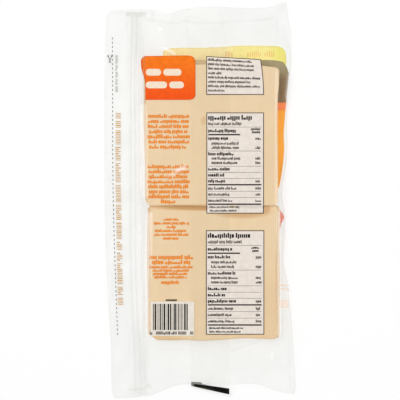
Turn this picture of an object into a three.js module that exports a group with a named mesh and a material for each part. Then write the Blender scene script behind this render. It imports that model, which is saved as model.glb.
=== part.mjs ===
// A clear flow-wrapped pack of sliced cheese, lying on its printed front with its back up.
// Two stacks of square slices fill the pouch, the upper one lapping a little over the lower one.
// A reseal strip runs down a flat flange at the left, the two ends are sealed flat and wavy, and
// the back seam is a wide flap folded over to the right, whose end hangs out past the lower seal.
//
// Millimetres. +X runs to the right and +Y to the top of the pack as its back is read, and +Z
// points up from the table. The origin is on the table, under the middle of the pack.

import * as THREE from "three";

// The slices and the two stacks that they lie in.
const SLICE_THICKNESS = 1.9;
const UPPER_SLICES = 6;
const LOWER_SLICES = 5;
const UPPER_STACK = { left: -39, right: 56.2, top: 96.8, bottom: -4.5 };
const LOWER_STACK = { left: -35.3, right: 57, bottom: -100 };
const STACK_LAP_RUN = 2.2; // length over which the film steps down from stack to stack
const STACK_SHIFT_RUN = 9; // length over which the film's side follows the lower stack inwards
const FILM_SLACK = 0.3; // room for the film under and over the slices

// The flattened parts round the stacks.
const FIN_THICKNESS = 1.0;
const TOP_SEAL_START = 128.6;
const BOTTOM_SEAL_START = -124;
const FLANGE_OUTER_HEIGHT = 1.3;
const FLANGE_INNER_HEIGHT = 2.5;
const TOP_SEAL_HEIGHT = 3.4;
const BOTTOM_SEAL_HEIGHT = 2.2;
const RIGHT_FOLD_HEIGHT = 4.8;

// The reseal strip, pressed between the films of the flange.
const STRIP_POCKET = { left: -51.4, right: -41 };
const STRIP_CLEARANCE = 0.4;
const STRIP_GAP_BELOW = 0.15;
const STRIP_FLOOR = 0.4; // thickness of film left under the strip
const STRIP_TAPE = 0.45;
const STRIP_RIB_HEIGHT = 0.8;
const STRIP_RIB_WIDTH = 1.7;
const STRIP_RIBS = [2.7, 6.4]; // distance of each rib's middle from the strip's left edge
const STRIP_CRUSH = 9; // length at each end where the seal has pressed the ribs flat
const STRIP_END_MARGIN = 1.8; // from the end of the pocket to the edge of the film
const STRIP_LEAN = 3.2; // how far the lower end of the strip has moved to the right

// The back seam's flap.
const FLAP = { left: -6.4, right: 21.2, rise: 0.3 };
const FLAP_END = { left: -132.6, right: -138.7 };
const STEP_RUN = 0.1; // width of a wall that stands nearly upright in the grid of faces

// The rim of the film, read along each side.
const LEFT_RIM = [
  [-141.8, -61.2], [-137.5, -62.9], [-99.7, -64], [-78, -65.4], [-35.5, -67.5],
  [14.4, -68.5], [71.5, -68.5], [107, -67.9], [131, -66.9], [135.6, -64.8],
];
const RIGHT_RIM = [
  [-138.9, 67.6], [-131.7, 68.5], [-103, 66.7], [-79, 64.8], [-56, 62.2], [-44, 59.5],
  [-25, 60.6], [-11, 60.9], [4.5, 58.6], [32, 62.3], [64, 62.1], [97, 65.1],
  [118, 65], [131.4, 62.9], [141.8, 61.7],
];
const TOP_RIM = [
  [-64.8, 135.6], [-49.6, 136.4], [-34, 136.3], [-30, 135.4], [-23.2, 132.9],
  [-13, 136.2], [6, 138.2], [28.9, 137.4], [46.7, 137.8], [61.7, 141.8],
];
const BOTTOM_RIM = [
  [-61.2, -141.8], [-39.6, -140.4], [-28, -136.9], [-17, -132.4], [-6.4, -131.3],
  [22, -131.7], [40, -131.2], [53.9, -136.2], [67.6, -138.9],
];

const mix = THREE.MathUtils.lerp;
const clamp = THREE.MathUtils.clamp;
const smooth = (t) => THREE.MathUtils.smoothstep(t, 0, 1);
const hump = (t) => Math.exp(-t * t);

// A smooth curve through points [at, value], as a function of at, level with its ends beyond them.
function through(points) {
  const slope = points.map((_, i) => {
    const before = points[Math.max(i - 1, 0)];
    const after = points[Math.min(i + 1, points.length - 1)];
    return (after[1] - before[1]) / (after[0] - before[0]);
  });
  return (at) => {
    const clamped = clamp(at, points[0][0], points[points.length - 1][0]);
    const next = Math.max(1, points.findIndex((p) => p[0] >= clamped));
    const [a0, v0] = points[next - 1];
    const [a1, v1] = points[next];
    const run = a1 - a0;
    const t = (clamped - a0) / run;
    const rise = (3 - 2 * t) * t * t;
    const lead = t * (1 - t) * (1 - t) * run * slope[next - 1];
    const trail = t * t * (t - 1) * run * slope[next];
    return mix(v0, v1, rise) + lead + trail;
  };
}

const leftRim = through(LEFT_RIM);
const rightRim = through(RIGHT_RIM);
const topRim = through(TOP_RIM);
const filmBottomRim = through(BOTTOM_RIM);

// The lower rim, with the end of the flap that hangs out past the film.
function bottomRim(x) {
  const along = (x - FLAP.left) / (FLAP.right - FLAP.left);
  const onFlap = along >= 0 && along <= 1;
  return onFlap ? mix(FLAP_END.left, FLAP_END.right, along) : filmBottomRim(x);
}

// How far the reseal strip and its pocket have moved to the right at y.
const stripShift = (y) => STRIP_LEAN * smooth((-30 - y) / 110);
const pocketLeft = (y) => STRIP_POCKET.left + stripShift(y);
const pocketRight = (y) => STRIP_POCKET.right + stripShift(y) * smooth((-60 - y) / 50);

// The share of the lower stack in the film's form at y: 0 over the upper stack and 1 over the lower.
const lowerShare = (y, run) => smooth((UPPER_STACK.bottom - y) / run + 0.5);
const stackLeft = (y) => mix(UPPER_STACK.left, LOWER_STACK.left, lowerShare(y, STACK_SHIFT_RUN));
const stackRight = (y) => mix(UPPER_STACK.right, LOWER_STACK.right, lowerShare(y, STACK_SHIFT_RUN));

// The film's height over the slices.
function roofHeight(y) {
  const upper = UPPER_SLICES * SLICE_THICKNESS + FILM_SLACK;
  const lower = LOWER_SLICES * SLICE_THICKNESS + FILM_SLACK;
  return mix(upper, lower, lowerShare(y, STACK_LAP_RUN));
}

// How far the film at (x, y) is on its way out: 0 over the stacks and 1 where it lies flat.
function outward(x, y) {
  const left = (stackLeft(y) - x) / (stackLeft(y) - pocketRight(y));
  const right = (x - stackRight(y)) / Math.max(rightRim(y) - stackRight(y), 1);
  const top = (y - UPPER_STACK.top) / (TOP_SEAL_START - UPPER_STACK.top);
  const bottom = (LOWER_STACK.bottom - y) / (LOWER_STACK.bottom - BOTTOM_SEAL_START);
  const across = Math.max(left, right, 0);
  const along = Math.max(top, bottom, 0);
  return Math.min(Math.hypot(across, along), 1);
}

// Height of the middle of the flattened film. The corners lie low, and the middle of each end
// stands up where the stack draws the film in, with a sharp pucker in the upper seal.
function finHeight(x, y) {
  const lip = pocketRight(y);
  const flangeShare = clamp((x - leftRim(y)) / (lip - leftRim(y)), 0, 1);
  const flangeWave = 0.45 * Math.sin(y / 14) * (1 - flangeShare);
  const flange = mix(FLANGE_OUTER_HEIGHT, FLANGE_INNER_HEIGHT, flangeShare) + flangeWave;
  const topWave = 0.7 * Math.sin(x / 8.5) + 1.6 * hump((x + 22) / 7);
  const top = TOP_SEAL_HEIGHT + 1.2 * hump((x - 18) / 30) + topWave;
  const bottomWave = 0.5 * Math.sin(x / 6.5 + 1);
  const bottom = BOTTOM_SEAL_HEIGHT + 2.6 * hump((x - 14) / 32) + bottomWave;
  const end = mix(bottom, top, smooth((y + 60) / 120));
  const inner = mix(flange, end, smooth((x - lip) / 24));
  const foldShare = smooth((x - 42) / 18) * (1 - smooth((Math.abs(y) - 90) / 40));
  const rightWave = 0.5 * Math.sin(y / 9);
  return mix(inner, RIGHT_FOLD_HEIGHT + rightWave, foldShare);
}

// The film runs almost straight from the slices to the flat parts, rounded a little at both ends.
const fall = (share) => mix(share, smooth(share), 0.4);

// Low folds that fan out from the corners of the stacks over the sloping film.
function cornerFolds(x, y) {
  const overEnd = Math.max(y - UPPER_STACK.top, LOWER_STACK.bottom - y, 0);
  const middle = (stackLeft(y) + stackRight(y)) / 2;
  const side = Math.abs(x - middle) / (stackRight(y) - middle);
  const fan = Math.cos((Math.abs(x - middle) - 0.7 * overEnd) / 3.2);
  return 0.35 * fan * smooth(overEnd / 8) * (1 - smooth((overEnd - 18) / 14)) * smooth(side * 2 - 0.8);
}

const onFlap = (x) => x > FLAP.left && x < FLAP.right;

function inPocket(x, y) {
  const beside = x > pocketLeft(y) + STEP_RUN / 2 && x < pocketRight(y) - STEP_RUN / 2;
  const pastTop = y > topRim(x) - STRIP_END_MARGIN - STEP_RUN / 2;
  const pastBottom = y < bottomRim(x) + STRIP_END_MARGIN + STEP_RUN / 2;
  return beside && !pastTop && !pastBottom;
}

// The underside: flat on the table below the slices, lifting to the fins all round.
function lowerSurface(x, y) {
  const fin = finHeight(x, y) - FIN_THICKNESS / 2;
  return Math.max(fin, 0) * Math.pow(outward(x, y), 1.6);
}

// The top side: over the slices, down to the fins, with the flap's step and the strip's pocket.
function upperSurface(x, y) {
  if (inPocket(x, y)) return lowerSurface(x, y) + STRIP_FLOOR;
  const share = outward(x, y);
  const fin = Math.max(finHeight(x, y), FIN_THICKNESS / 2) + FIN_THICKNESS / 2;
  const film = mix(roofHeight(y), fin, fall(share)) + cornerFolds(x, y);
  return film + (onFlap(x) ? FLAP.rise : 0);
}

// Lines of the grid between two others, from the first up to but without the second.
function between(from, to, count) {
  return Array.from({ length: count }, (_, i) => (at) => mix(from(at), to(at), i / count));
}
const fixed = (value) => () => value;
const beside = (line, offset) => (at) => line(at) + offset;

// Lines that run from end to end of the pack, each giving x at y, from left to right.
const columns = [
  ...between(leftRim, pocketLeft, 4),
  pocketLeft,
  ...between(beside(pocketLeft, STEP_RUN), beside(pocketRight, -STEP_RUN), 2),
  beside(pocketRight, -STEP_RUN),
  ...between(pocketRight, stackLeft, 2),
  ...between(stackLeft, fixed(-30), 2),
  ...between(fixed(-30), fixed(FLAP.left - STEP_RUN), 5),
  fixed(FLAP.left - STEP_RUN),
  ...between(fixed(FLAP.left + STEP_RUN), fixed(FLAP.right - STEP_RUN), 5),
  fixed(FLAP.right - STEP_RUN),
  ...between(fixed(FLAP.right + STEP_RUN), beside(stackRight, -4), 6),
  ...between(beside(stackRight, -4), stackRight, 1),
  ...between(stackRight, rightRim, 3),
  rightRim,
];

const pocketTop = beside(topRim, -STRIP_END_MARGIN);
const pocketBottom = beside(bottomRim, STRIP_END_MARGIN);
const lapTop = UPPER_STACK.bottom + STACK_LAP_RUN / 2;
const lapBottom = UPPER_STACK.bottom - STACK_LAP_RUN / 2;

// Lines of the strip's own length, from its lower end to its upper end, each giving y at x.
const stripRows = [
  ...between(beside(pocketBottom, STEP_RUN), fixed(BOTTOM_SEAL_START), 4),
  ...between(fixed(BOTTOM_SEAL_START), fixed(LOWER_STACK.bottom), 5),
  ...between(fixed(LOWER_STACK.bottom), fixed(lapBottom), 13),
  ...between(fixed(lapBottom), fixed(lapTop), 2),
  ...between(fixed(lapTop), fixed(UPPER_STACK.top), 13),
  ...between(fixed(UPPER_STACK.top), fixed(TOP_SEAL_START), 6),
  ...between(fixed(TOP_SEAL_START), beside(pocketTop, -STEP_RUN), 2),
  beside(pocketTop, -STEP_RUN),
];
const rows = [bottomRim, pocketBottom, ...stripRows, pocketTop, topRim];

// Where a column and a row cross.
function crossing(column, row) {
  let x = column(0);
  let y = row(x);
  for (let pass = 0; pass < 6; pass += 1) {
    x = column(y);
    y = row(x);
  }
  return [x, y];
}

// A closed block of faces between two surfaces, over a grid of columns and rows.
function blockBetween(acrossLines, alongLines, low, high) {
  const across = acrossLines.length - 1;
  const along = alongLines.length - 1;
  const geometry = new THREE.BoxGeometry(1, 1, 1, across, along, 1);
  const place = geometry.getAttribute("position");
  for (let v = 0; v < place.count; v += 1) {
    const column = acrossLines[Math.round((place.getX(v) + 0.5) * across)];
    const row = alongLines[Math.round((place.getY(v) + 0.5) * along)];
    const [x, y] = crossing(column, row);
    place.setXYZ(v, x, y, place.getZ(v) > 0 ? high(x, y) : low(x, y));
  }
  geometry.computeVertexNormals();
  return geometry;
}

// The clear pouch with what fills it, as one solid.
function makeBag() {
  const film = new THREE.MeshStandardMaterial({
    color: 0xe9d3ac,
    roughness: 0.3,
    metalness: 0,
  });
  const bag = new THREE.Mesh(blockBetween(columns, rows, lowerSurface, upperSurface), film);
  bag.name = "bag";
  return bag;
}

// Distances across the reseal strip where its section turns, from its left edge.
function stripTurns() {
  const half = STRIP_RIB_WIDTH / 2;
  const bevel = STRIP_RIB_WIDTH / 4;
  return STRIP_RIBS.flatMap((at) => [at - half, at - half + bevel, at + half - bevel, at + half]);
}

// Height of the ribs above the tape, at a distance across and at y. The seals crush their ends.
function ribHeight(across, y, x) {
  const nearest = Math.min(...STRIP_RIBS.map((at) => Math.abs(across - at)));
  const crest = clamp((STRIP_RIB_WIDTH / 2 - nearest) / (STRIP_RIB_WIDTH / 4), 0, 1);
  const toEnd = Math.min(topRim(x) - STRIP_END_MARGIN - y, y - bottomRim(x) - STRIP_END_MARGIN);
  return STRIP_RIB_HEIGHT * crest * smooth(toEnd / STRIP_CRUSH);
}

// The reseal strip: a tape with two press-to-close ribs.
function makeStrip() {
  const left = beside(pocketLeft, STRIP_CLEARANCE);
  const right = beside(pocketRight, -STRIP_CLEARANCE);
  const turns = stripTurns().map((across) => beside(left, across));
  const bottomEnd = beside(pocketBottom, STRIP_CLEARANCE);
  const topEnd = beside(pocketTop, -STRIP_CLEARANCE);
  const low = (x, y) => lowerSurface(x, y) + STRIP_FLOOR + STRIP_GAP_BELOW;
  const high = (x, y) => low(x, y) + STRIP_TAPE + ribHeight(x - left(y), y, x);
  const along = [bottomEnd, ...stripRows.slice(1, -1), topEnd];
  const plastic = new THREE.MeshStandardMaterial({
    color: 0xe4e2dc,
    roughness: 0.4,
    metalness: 0,
  });
  const strip = new THREE.Mesh(blockBetween([left, ...turns, right], along, low, high), plastic);
  strip.name = "reseal_strip";
  return strip;
}

const pack = new THREE.Group();
pack.add(makeBag(), makeStrip());

export default pack;
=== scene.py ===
"""A clear pack of sliced cheese, lying on its printed front with its back up.

The films, the slices that show through them, the folded seam and the printed fields are built
around the CAD frame, in the frame's own axes: +X to the right and +Y to the top of the pack as
its back is read, and +Z up from the table. The form is worked out in millimetres, and the
meshes are made in metres.
"""

import math
import random

import bpy
import numpy as np
from bpy.props import FloatProperty, FloatVectorProperty, PointerProperty
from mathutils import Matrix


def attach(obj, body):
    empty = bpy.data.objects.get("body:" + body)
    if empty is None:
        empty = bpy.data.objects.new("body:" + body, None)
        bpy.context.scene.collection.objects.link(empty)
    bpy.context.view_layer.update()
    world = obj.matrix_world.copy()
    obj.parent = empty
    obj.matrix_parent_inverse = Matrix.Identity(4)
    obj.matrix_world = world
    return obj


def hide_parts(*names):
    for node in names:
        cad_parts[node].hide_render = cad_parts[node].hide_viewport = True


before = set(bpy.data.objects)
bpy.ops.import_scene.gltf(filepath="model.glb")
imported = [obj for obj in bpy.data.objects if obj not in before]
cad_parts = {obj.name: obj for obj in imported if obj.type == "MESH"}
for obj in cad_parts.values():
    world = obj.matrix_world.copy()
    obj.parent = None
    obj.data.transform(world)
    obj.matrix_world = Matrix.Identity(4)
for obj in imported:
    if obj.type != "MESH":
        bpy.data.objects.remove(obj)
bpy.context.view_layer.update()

bl_info = {
    "name": "Pack of Sliced Cheese",
    "version": (1, 0, 0),
    "blender": (4, 5, 0),
    "location": "View3D > Sidebar > Cheese Pack",
    "description": "Dresses the frame of a clear pack of sliced cheese",
    "category": "Object",
}

MM = 0.001
BODY = "root"
BAG = "bag"
STRIP = "reseal_strip"

# The photo's frame, for the camera.
PHOTO_PIXELS = 400
MM_PER_PIXEL = 0.7126
CAMERA_OFFSET = 0.18
FOCUS_HEIGHT = 6.0
CAMERA_LENS = 150.0
SENSOR_WIDTH = 36.0

# The stacks of slices, as in the CAD model, and where the top slice of each ends at the right.
UPPER_SLICES = 6
LOWER_SLICES = 5
UPPER = {"left": -39.0, "right": 56.2, "shown_right": 56.0, "top": 96.8, "bottom": -4.5}
LOWER = {"left": -35.3, "right": 57.0, "shown_right": 54.8, "bottom": -100.0}
SLICE_SEAM = UPPER["bottom"] + 1.6
STACK_LAP_RUN = 2.2
STACK_SHIFT_RUN = 9.0
FILM_SLACK = 0.3

# How the slices are made: the top one of each stack finely, the hidden ones coarsely.
SHOWN_PITCH = 1.1
HIDDEN_PITCH = 6.0
SLICE_GAP = 0.04
SLICE_EDGE_RADIUS = 0.45
SLICE_CORNER_RADIUS = 3.5

# Eyes of the top slices: (x, y, half width, half length, depth).
UPPER_EYES = ((2.6, 56.4, 2.4, 4.2, 0.6), (-24.0, 30.0, 1.6, 1.3, 0.12))
LOWER_EYES = ((30.0, -62.0, 1.6, 1.3, 0.1),)

# Darker places of the top slices, partly stain and partly painted shade, as at the seam
# between the stacks, in an eye and along the edges: (x, y, half width, half length, share).
UPPER_STAINS_AND_SHADE = (
    (2.6, 56.4, 2.4, 4.2, 0.3), (60.0, 0.0, 45.0, 80.0, 0.05), (8.0, -4.6, 50.0, 2.4, 0.45),
)
LOWER_STAINS_AND_SHADE = (
    (46.0, -5.2, 5.6, 7.0, 0.6), (30.0, -8.2, 25.0, 5.8, 0.6), (8.0, -5.0, 50.0, 3.0, 0.85),
    (58.0, -100.0, 55.0, 60.0, 0.12), (-26.0, -99.0, 22.0, 4.0, 0.3),
    (54.6, -62.0, 1.5, 42.0, 0.3),
)

# How far each layer of print stands off its film, so that no two surfaces meet.
PRINT_LIFT = 0.07
OVERPRINT_LIFT = 0.13
LABEL_LIFT = 0.06
LABEL_BAR_LIFT = 0.1
BANNER_LIFT = 0.06
FRONT_LIFT = 0.1
MARK_LIFT = 0.08
CUTTING_MARK_LIFT = 0.09

# The flattened parts round the stacks, as in the CAD model.
FIN_THICKNESS = 1.0
TOP_SEAL_START = 128.6
BOTTOM_SEAL_START = -124.0
FLANGE_OUTER_HEIGHT = 1.3
FLANGE_INNER_HEIGHT = 2.5
TOP_SEAL_HEIGHT = 3.4
BOTTOM_SEAL_HEIGHT = 2.2
RIGHT_FOLD_HEIGHT = 4.8
POCKET = {"left": -51.4, "right": -41.0}
STRIP_RIBS = (3.1, 6.8)
STRIP_RIB_WIDTH = 1.7
STRIP_RIB_HEIGHT = 0.8
STRIP_CRUSH = 9.0
STRIP_END_MARGIN = 1.8
STRIP_LEAN = 3.2
FLAP = {"left": -6.4, "right": 21.2, "rise": 0.16}
FLAP_END = {"left": -132.6, "right": -138.7}

# The rim of the film, read along each side, as in the CAD model.
LEFT_RIM = (
    (-141.8, -61.2), (-137.5, -62.9), (-99.7, -64), (-78, -65.4), (-35.5, -67.5),
    (14.4, -68.5), (71.5, -68.5), (107, -67.9), (131, -66.9), (135.6, -64.8),
)
RIGHT_RIM = (
    (-138.9, 67.6), (-131.7, 68.5), (-103, 66.7), (-79, 64.8), (-56, 62.2), (-44, 59.5),
    (-25, 60.6), (-11, 60.9), (4.5, 58.6), (32, 62.3), (64, 62.1), (97, 65.1),
    (118, 65), (131.4, 62.9), (141.8, 61.7),
)
TOP_RIM = (
    (-64.8, 135.6), (-49.6, 136.4), (-34, 136.3), (-30, 135.4), (-23.2, 132.9),
    (-13, 136.2), (6, 138.2), (28.9, 137.4), (46.7, 137.8), (61.7, 141.8),
)
BOTTOM_RIM = (
    (-61.2, -141.8), (-39.6, -140.4), (-28, -136.9), (-17, -132.4), (-6.4, -131.3),
    (22, -131.7), (40, -131.2), (53.9, -136.2), (67.6, -138.9),
)

# Creases of the back film, with painted shade along them: (start, end, half width, height, shade).
CREASES = (
    ((-39.9, 129.4), (-31.0, 128.0), 0.8, 0.6, 0.07),
    ((-31.0, 128.0), (-21.0, 126.0), 0.8, 0.7, 0.09),
    ((-21.0, 126.0), (-15.6, 126.2), 0.8, 0.7, 0.09),
    ((-15.6, 126.2), (-10.5, 128.2), 0.8, 0.6, 0.07),
    ((-10.5, 128.2), (-1.4, 126.0), 0.8, 0.6, 0.07),
    ((-1.4, 126.0), (17.1, 126.5), 0.8, 0.6, 0.05),
    ((17.1, 126.5), (37.8, 127.9), 0.8, 0.6, 0.06),
    ((37.8, 127.9), (52.5, 130.0), 1.0, 0.8, 0.09),
    ((-10.5, 130.6), (-1.0, 129.8), 0.7, 0.4, 0.05),
    ((-34.2, 134.0), (-34.4, 128.6), 0.8, 0.6, 0.06),
    ((-30.0, 125.6), (-24.0, 121.0), 0.8, 0.4, 0.03),
    ((54.2, 129.8), (54.2, 111.0), 0.8, 0.5, 0.05),
    ((40.8, -101.0), (21.0, -107.6), 0.9, -0.6, 0.06),
    ((-36.0, -101.5), (-30.0, -104.6), 0.9, 0.4, 0.03),
    ((-30.0, -104.6), (-11.0, -106.0), 0.9, 0.4, 0.03),
    ((61.6, 34.0), (58.7, 3.0), 0.6, 0.6, 0.1),
    ((57.6, 6.6), (59.8, -4.6), 0.6, 0.6, 0.14),
    ((-39.0, -100.0), (-37.4, -132.0), 1.6, 0.4, 0.035),
    ((60.5, -62.0), (64.0, -118.0), 0.9, 0.5, 0.03),
    ((63.4, -118.0), (65.4, -134.0), 0.8, 0.4, 0.03),
    ((-52.8, 133.2), (-38.6, 132.8), 1.6, -0.4, 0.2),
    ((-63.0, 134.2), (-34.0, 134.4), 1.1, 0.3, 0.06),
    ((-10.6, 128.1), (-8.2, 127.8), 0.8, 0.2, 0.06),
    ((-10.6, 130.8), (-8.6, 130.7), 0.7, 0.2, 0.06),
    ((-8.6, 108.0), (-9.8, 127.0), 0.7, 0.2, 0.03),
    ((-11.0, 135.4), (-5.8, 136.0), 0.8, 0.2, 0.07),
    ((-51.2, -135.2), (-45.6, -135.2), 0.8, -0.3, 0.1),
    ((-38.6, -134.2), (-36.6, -131.8), 0.9, -0.4, 0.12),
    ((-36.6, -131.8), (-34.8, -134.4), 0.9, -0.4, 0.12),
    ((-45.6, -135.4), (-39.0, -134.4), 1.0, -0.3, 0.08),
    ((-44.4, -138.8), (-36.4, -138.6), 0.9, -0.4, 0.1),
    ((-41.4, -106.0), (-40.4, -131.0), 2.0, -0.3, 0.03),
)

# Painted highlights: soft pale gleams on the back film: (start, end, half width, strength).
GLEAMS = (
    ((-40.4, 68.0), (-39.8, 40.0), 2.1, 0.24),
    ((-39.8, 40.0), (-39.2, 2.0), 2.1, 0.24),
    ((-36.0, -9.0), (-37.2, -58.0), 2.0, 0.32),
    ((-37.2, -58.0), (-36.8, -96.0), 1.5, 0.28),
    ((54.2, 92.0), (54.0, -3.0), 0.9, 0.13),
    ((55.9, -8.0), (56.1, -96.0), 1.2, 0.25),
    ((61.6, 72.0), (63.4, 90.0), 1.2, 0.22),
    ((-17.2, 20.4), (-10.0, 23.8), 1.2, 0.6),
    ((-23.0, 16.4), (-17.2, 20.4), 0.9, 0.2),
    ((-6.4, 20.8), (0.0, 23.7), 1.4, 0.04),
    ((-25.2, 108.0), (-21.4, 106.3), 0.7, 0.45),
    ((-21.4, 106.3), (-17.6, 103.8), 0.7, 0.45),
    ((-30.6, 123.0), (-27.6, 121.4), 1.2, 0.1),
    ((51.1, -108.5), (51.1, -112.5), 0.8, 0.25),
)

# Painted shade along the film's rim.
RIM_SHADE = 0.05
RIM_SHADE_WIDTH = 0.9

# Shaded bands along the strip. Their place from the pocket's left and their shade are given at
# the foot and at the top: (place, place, half width, shade, shade).
STRIP_BANDS = (
    (-1.4, -0.8, 1.5, 0.025, 0.06), (1.9, 2.8, 0.9, 0.04, 0.09), (5.6, 5.8, 1.0, 0.04, 0.1),
    (7.6, 7.6, 1.8, 0.03, 0.045), (10.2, 9.8, 1.3, 0.02, 0.055),
)

# Painted highlights: pale bands along the strip's ribs: (from the pocket's left, half width,
# strength).
STRIP_GLEAMS = ((3.6, 0.8, 0.13), (7.4, 1.5, 0.16))

# How glossy the film and the ink are. Ink lies under the film's own gloss, so it shines less.
FILM_IOR = 2.3
INK_IOR = 1.15

# How much the film's alpha gains where it is cloudy, where it leans to the lower left, as
# painted shade, and where it is seen edge on, as a painted sheen.
CLOUD_DENSITY = 0.012
LEAN_SHADE_DENSITY = 0.03
EDGE_SHEEN_DENSITY = 0.2

# The warm glow of the film's gleams, which are painted highlights, and how dark ink is along its rim.
GLEAM_COLOUR = (1.0, 0.93, 0.78)
GLEAM_GLOW = 0.2
RIM_DARKENING = 0.12


def srgb(*values):
    """A colour given as it looks on screen, 0 to 255, as the linear colour that shaders take."""
    shares = [value / 255 for value in values]
    return tuple(s / 12.92 if s <= 0.04045 else ((s + 0.055) / 1.055) ** 2.4 for s in shares)


def pack_settings():
    return bpy.context.scene.cheese_pack


# Curves and surfaces of the film

def mix(a, b, t):
    return a + (b - a) * t


def smooth(t):
    t = np.clip(t, 0.0, 1.0)
    return t * t * (3 - 2 * t)


def ramp(value, start, end):
    """0 at the start, 1 at the end and smooth between them."""
    return smooth((value - start) / (end - start))


def hump(t):
    return np.exp(-t * t)


def bulge(at, height, middle, half_width):
    return height * hump((at - middle) / half_width)


def wave(at, height, length, start=0.0):
    return height * np.sin(at / length + start)


def fixed(value):
    return lambda at: np.full_like(np.asarray(at, float), value)


def shifted(line, offset):
    return lambda at: line(at) + offset


def raised(surface, rise):
    return lambda x, y: surface(x, y) + rise


def through(points):
    """A smooth curve through points (at, value), as a function of at."""
    at, value = np.array(points, float).T
    index = np.arange(len(at))
    before = np.maximum(index - 1, 0)
    after = np.minimum(index + 1, len(at) - 1)
    slope = (value[after] - value[before]) / (at[after] - at[before])

    def curve(where):
        where = np.clip(where, at[0], at[-1])
        high = np.clip(np.searchsorted(at, where), 1, len(at) - 1)
        low = high - 1
        run = at[high] - at[low]
        t = (where - at[low]) / run
        rise = (3 - 2 * t) * t * t
        lead = t * (1 - t) * (1 - t) * run * slope[low]
        trail = t * t * (t - 1) * run * slope[high]
        return mix(value[low], value[high], rise) + lead + trail

    return curve


left_rim = through(LEFT_RIM)
right_rim = through(RIGHT_RIM)
top_rim = through(TOP_RIM)
bottom_rim = through(BOTTOM_RIM)


def strip_shift(y):
    return STRIP_LEAN * ramp(y, -30, -140)


def pocket_left(y):
    return POCKET["left"] + strip_shift(y)


def pocket_right(y):
    return POCKET["right"] + strip_shift(y) * ramp(y, -60, -110)


def up_share(y):
    """0 towards the foot of the pack and 1 towards its top."""
    return ramp(y, -60, 60)


def from_middle(y):
    """How far a place is above or below the middle of the strip."""
    return np.abs(y - 5)


def lower_share(y, run):
    """0 over the upper stack and 1 over the lower one."""
    return smooth((UPPER["bottom"] - y) / run + 0.5)


def stack_left(y):
    return mix(UPPER["left"], LOWER["left"], lower_share(y, STACK_SHIFT_RUN))


def stack_right(y):
    return mix(UPPER["right"], LOWER["right"], lower_share(y, STACK_SHIFT_RUN))


def slice_thickness():
    return pack_settings().slice_thickness / MM


def roof_height(y):
    thickness = slice_thickness()
    upper = UPPER_SLICES * thickness + FILM_SLACK
    lower = LOWER_SLICES * thickness + FILM_SLACK
    return mix(upper, lower, lower_share(y, STACK_LAP_RUN))


def outward(x, y):
    """0 over the stacks and 1 where the film lies flat."""
    left = (stack_left(y) - x) / (stack_left(y) - pocket_right(y))
    right = (x - stack_right(y)) / np.maximum(right_rim(y) - stack_right(y), 1)
    top = (y - UPPER["top"]) / (TOP_SEAL_START - UPPER["top"])
    bottom = (LOWER["bottom"] - y) / (LOWER["bottom"] - BOTTOM_SEAL_START)
    across = np.maximum(np.maximum(left, right), 0)
    along = np.maximum(np.maximum(top, bottom), 0)
    return np.minimum(np.hypot(across, along), 1)


def fin_height(x, y):
    """Height of the middle of the flattened film, which is a little wavy."""
    lip = pocket_right(y)
    flange_share = np.clip((x - left_rim(y)) / (lip - left_rim(y)), 0, 1)
    flange = mix(FLANGE_OUTER_HEIGHT, FLANGE_INNER_HEIGHT, flange_share)
    flange = flange + wave(y, 0.45, 14) * (1 - flange_share)
    top = TOP_SEAL_HEIGHT + bulge(x, 1.2, 18, 30) + bulge(x, 1.6, -22, 7) + wave(x, 0.7, 8.5)
    bottom = BOTTOM_SEAL_HEIGHT + bulge(x, 2.6, 14, 32) + wave(x, 0.5, 6.5, 1)
    end = mix(bottom, top, up_share(y))
    inner = mix(flange, end, ramp(x, lip, lip + 24))
    fold_share = ramp(x, 42, 60) * (1 - ramp(np.abs(y), 90, 130))
    return mix(inner, RIGHT_FOLD_HEIGHT + wave(y, 0.5, 9), fold_share)


def corner_folds(x, y):
    """Height of the small folds that fan out past the corners of the stacks."""
    over_end = np.maximum(np.maximum(y - UPPER["top"], LOWER["bottom"] - y), 0)
    middle = (stack_left(y) + stack_right(y)) / 2
    side = np.abs(x - middle) / (stack_right(y) - middle)
    fold_height, fold_length, fan_lean = 0.35, 3.2, 0.7
    fan = np.cos((np.abs(x - middle) - fan_lean * over_end) / fold_length)
    fade = ramp(over_end, 0, 8) * (1 - ramp(over_end, 18, 32)) * ramp(side, 0.4, 0.9)
    return fold_height * fan * fade


def fin_half(x, y):
    """Half the distance between the films where they lie flat: least along the rims and seals."""
    from_end = np.minimum(TOP_SEAL_START - y, y - BOTTOM_SEAL_START)
    from_side = np.minimum(x - left_rim(y), right_rim(y) - x)
    inside = ramp(from_end, -8, 0) * ramp(from_side, 0, 2.5)
    return mix(0.1, FIN_THICKNESS / 2, inside)


def rib_height(x, y):
    """Height of the reseal strip's ribs, which the end seals have crushed."""
    across = x - pocket_left(y)
    nearest = np.min([np.abs(across - at) for at in STRIP_RIBS], axis=0)
    crest = ramp(nearest, STRIP_RIB_WIDTH / 2 + 0.35, 0.35)
    to_top = top_rim(x) - STRIP_END_MARGIN - y
    to_bottom = y - bottom_rim(x) - STRIP_END_MARGIN
    return STRIP_RIB_HEIGHT * crest * ramp(np.minimum(to_top, to_bottom), 0, STRIP_CRUSH)


def along_line(x, y, line_start, line_end, half_width):
    """1 on a straight stretch between two points and 0 away from it."""
    x0, y0 = line_start
    x1, y1 = line_end
    run = math.hypot(x1 - x0, y1 - y0)
    along = ((x - x0) * (x1 - x0) + (y - y0) * (y1 - y0)) / run
    aside = ((x - x0) * (y1 - y0) - (y - y0) * (x1 - x0)) / run
    past = np.maximum(-along, along - run)
    return hump(aside / half_width) * (1 - ramp(past, -1.25, 1.25))


def creases(x, y):
    """Height of the small folds of the film."""
    folds = [rise * along_line(x, y, a, b, half) for a, b, half, rise, _ in CREASES]
    return sum(folds)


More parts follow.
